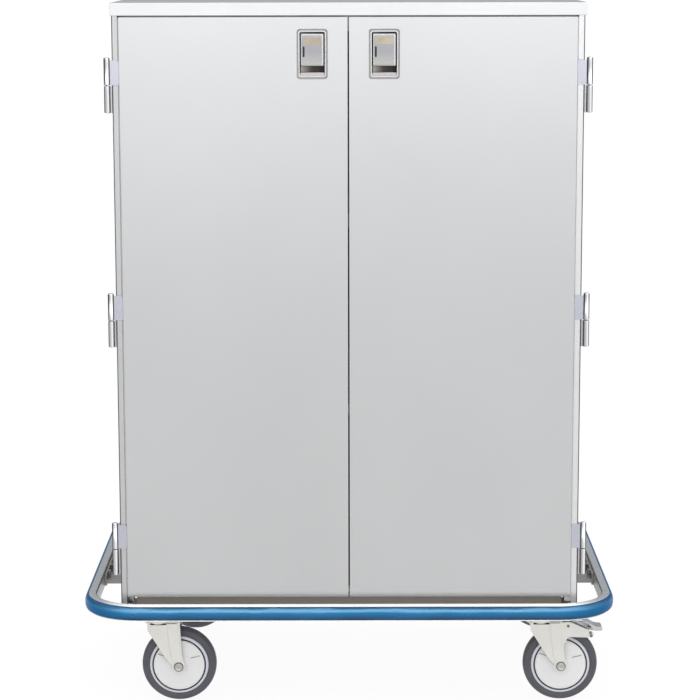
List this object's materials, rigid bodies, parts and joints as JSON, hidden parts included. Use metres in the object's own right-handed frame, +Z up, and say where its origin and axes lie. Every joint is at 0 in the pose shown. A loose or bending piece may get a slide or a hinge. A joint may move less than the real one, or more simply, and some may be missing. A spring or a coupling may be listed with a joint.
{
  "type": "housekeeping cart",
  "caption": "Closed stainless steel housekeeping and transport cart with double doors, paddle latches, a wrap-around blue bumper and swivel casters, some with brakes.",
  "frame": {"origin": "on the floor, below the centre of the bumper ring (bottom centre of the whole object's box)", "axes": "+Z up; the doors face -Y; +X to the right seen from the front"},
  "size_m": [1.076, 0.804, 1.4215],
  "materials": {
    "body_steel": "satin brushed stainless sheet",
    "polished_steel": "polished stainless",
    "latch_steel": "satin cast stainless, slightly darker",
    "caster_steel": "warm light grey zinc or electropolished steel",
    "bumper_blue": "semi-gloss blue vinyl",
    "tyre": "dark grey elastic tread",
    "wheel_core": "off-white moulded core and guards"
  },
  "bodies": {
    "cabinet": {"left_side_panel": "body_steel", "right_side_panel": "body_steel", "back_panel": "body_steel", "floor_pan": "body_steel", "top_cap": "body_steel", "header_rail": "body_steel", "base_frame": "body_steel", "lower_shelf": "body_steel", "upper_shelf": "body_steel", "front_bumper_channel": "body_steel", "front_bumper_strip": "bumper_blue", "rear_bumper_channel": "body_steel", "rear_bumper_strip": "bumper_blue", "left_bumper_bracket": "body_steel", "right_bumper_bracket": "body_steel", "left_top_hinge_frame_leaf": "polished_steel", "left_middle_hinge_frame_leaf": "polished_steel", "left_bottom_hinge_frame_leaf": "polished_steel", "right_top_hinge_frame_leaf": "polished_steel", "right_middle_hinge_frame_leaf": "polished_steel", "right_bottom_hinge_frame_leaf": "polished_steel", "front_left_caster_plate": "caster_steel", "front_right_caster_plate": "caster_steel", "rear_left_caster_plate": "caster_steel", "rear_right_caster_plate": "caster_steel"},
    "left_door": {"left_door_outer_skin": "body_steel", "left_door_inner_liner": "body_steel", "left_latch_pan": "latch_steel", "left_top_hinge_door_leaf": "polished_steel", "left_middle_hinge_door_leaf": "polished_steel", "left_bottom_hinge_door_leaf": "polished_steel"},
    "left_paddle": {"left_latch_paddle": "latch_steel"},
    "left_bolt": {"left_latch_bolt": "latch_steel"},
    "right_door": {"right_door_outer_skin": "body_steel", "right_door_inner_liner": "body_steel", "right_latch_pan": "latch_steel", "right_top_hinge_door_leaf": "polished_steel", "right_middle_hinge_door_leaf": "polished_steel", "right_bottom_hinge_door_leaf": "polished_steel"},
    "right_paddle": {"right_latch_paddle": "latch_steel"},
    "right_bolt": {"right_latch_bolt": "latch_steel"},
    "front_left_caster_swivel": {"front_left_caster_fork": "caster_steel", "front_left_caster_axle": "polished_steel"},
    "front_left_caster_wheel": {"front_left_caster_wheel_core": "wheel_core", "front_left_caster_tyre": "tyre"},
    "front_right_caster_swivel": {"front_right_caster_fork": "caster_steel", "front_right_caster_axle": "polished_steel"},
    "front_right_caster_wheel": {"front_right_caster_wheel_core": "wheel_core", "front_right_caster_tyre": "tyre"},
    "front_right_caster_brake": {"front_right_caster_brake_pedal": "caster_steel"},
    "rear_left_caster_swivel": {"rear_left_caster_fork": "caster_steel", "rear_left_caster_axle": "polished_steel"},
    "rear_left_caster_wheel": {"rear_left_caster_wheel_core": "wheel_core", "rear_left_caster_tyre": "tyre"},
    "rear_right_caster_swivel": {"rear_right_caster_fork": "caster_steel", "rear_right_caster_axle": "polished_steel"},
    "rear_right_caster_wheel": {"rear_right_caster_wheel_core": "wheel_core", "rear_right_caster_tyre": "tyre"},
    "rear_right_caster_brake": {"rear_right_caster_brake_pedal": "caster_steel"}
  },
  "joints": [
    {"name": "left_door_hinge", "type": "hinge", "parent": "cabinet", "child": "left_door", "pos_m": [-0.469, -0.3435, 0.8], "axis": [0, 0, -1], "range_deg": [0, 262]},
    {"name": "left_paddle_pivot", "type": "hinge", "parent": "left_door", "child": "left_paddle", "pos_m": [-0.07, -0.3415, 1.3585], "axis": [-1, 0, 0], "range_deg": [0, 40], "stiffness_Nm_per_rad": 0.6, "springref_deg": -11.46},
    {"name": "left_bolt_slide", "type": "slide", "parent": "left_door", "child": "left_bolt", "axis": [0, 0, -1], "range_m": [0, 0.0122]},
    {"name": "right_door_hinge", "type": "hinge", "parent": "cabinet", "child": "right_door", "pos_m": [0.469, -0.3435, 0.8], "axis": [0, 0, 1], "range_deg": [0, 262]},
    {"name": "right_paddle_pivot", "type": "hinge", "parent": "right_door", "child": "right_paddle", "pos_m": [0.07, -0.3415, 1.3585], "axis": [-1, 0, 0], "range_deg": [0, 40], "stiffness_Nm_per_rad": 0.6, "springref_deg": -11.46},
    {"name": "right_bolt_slide", "type": "slide", "parent": "right_door", "child": "right_bolt", "axis": [0, 0, -1], "range_m": [0, 0.0122]},
    {"name": "front_left_caster_swivel", "type": "hinge", "parent": "cabinet", "child": "front_left_caster_swivel", "pos_m": [-0.3907, -0.264, 0.17], "axis": [0, 0, 1], "continuous": true},
    {"name": "front_left_caster_wheel", "type": "hinge", "parent": "front_left_caster_swivel", "child": "front_left_caster_wheel", "pos_m": [-0.3489, -0.264, 0.0762], "axis": [0, 1, 0], "continuous": true},
    {"name": "front_right_caster_swivel", "type": "hinge", "parent": "cabinet", "child": "front_right_caster_swivel", "pos_m": [0.3907, -0.264, 0.17], "axis": [0, 0, 1], "continuous": true},
    {"name": "front_right_caster_wheel", "type": "hinge", "parent": "front_right_caster_swivel", "child": "front_right_caster_wheel", "pos_m": [0.4325, -0.264, 0.0762], "axis": [0, 1, 0], "continuous": true},
    {"name": "front_right_caster_brake", "type": "hinge", "parent": "front_right_caster_swivel", "child": "front_right_caster_brake", "pos_m": [0.4467, -0.264, 0.1605], "axis": [0, 1, 0], "range_deg": [0, 10]},
    {"name": "rear_left_caster_swivel", "type": "hinge", "parent": "cabinet", "child": "rear_left_caster_swivel", "pos_m": [-0.3907, 0.264, 0.17], "axis": [0, 0, 1], "continuous": true},
    {"name": "rear_left_caster_wheel", "type": "hinge", "parent": "rear_left_caster_swivel", "child": "rear_left_caster_wheel", "pos_m": [-0.3489, 0.264, 0.0762], "axis": [0, 1, 0], "continuous": true},
    {"name": "rear_right_caster_swivel", "type": "hinge", "parent": "cabinet", "child": "rear_right_caster_swivel", "pos_m": [0.3907, 0.264, 0.17], "axis": [0, 0, 1], "continuous": true},
    {"name": "rear_right_caster_wheel", "type": "hinge", "parent": "rear_right_caster_swivel", "child": "rear_right_caster_wheel", "pos_m": [0.4325, 0.264, 0.0762], "axis": [0, 1, 0], "continuous": true},
    {"name": "rear_right_caster_brake", "type": "hinge", "parent": "rear_right_caster_swivel", "child": "rear_right_caster_brake", "pos_m": [0.4467, 0.264, 0.1605], "axis": [0, 1, 0], "range_deg": [0, 10]}
  ],
  "couplings": [
    {"joint": "left_bolt_slide", "follows": "left_paddle_pivot", "m_per_rad": 0.017},
    {"joint": "right_bolt_slide", "follows": "right_paddle_pivot", "m_per_rad": 0.017}
  ]
}
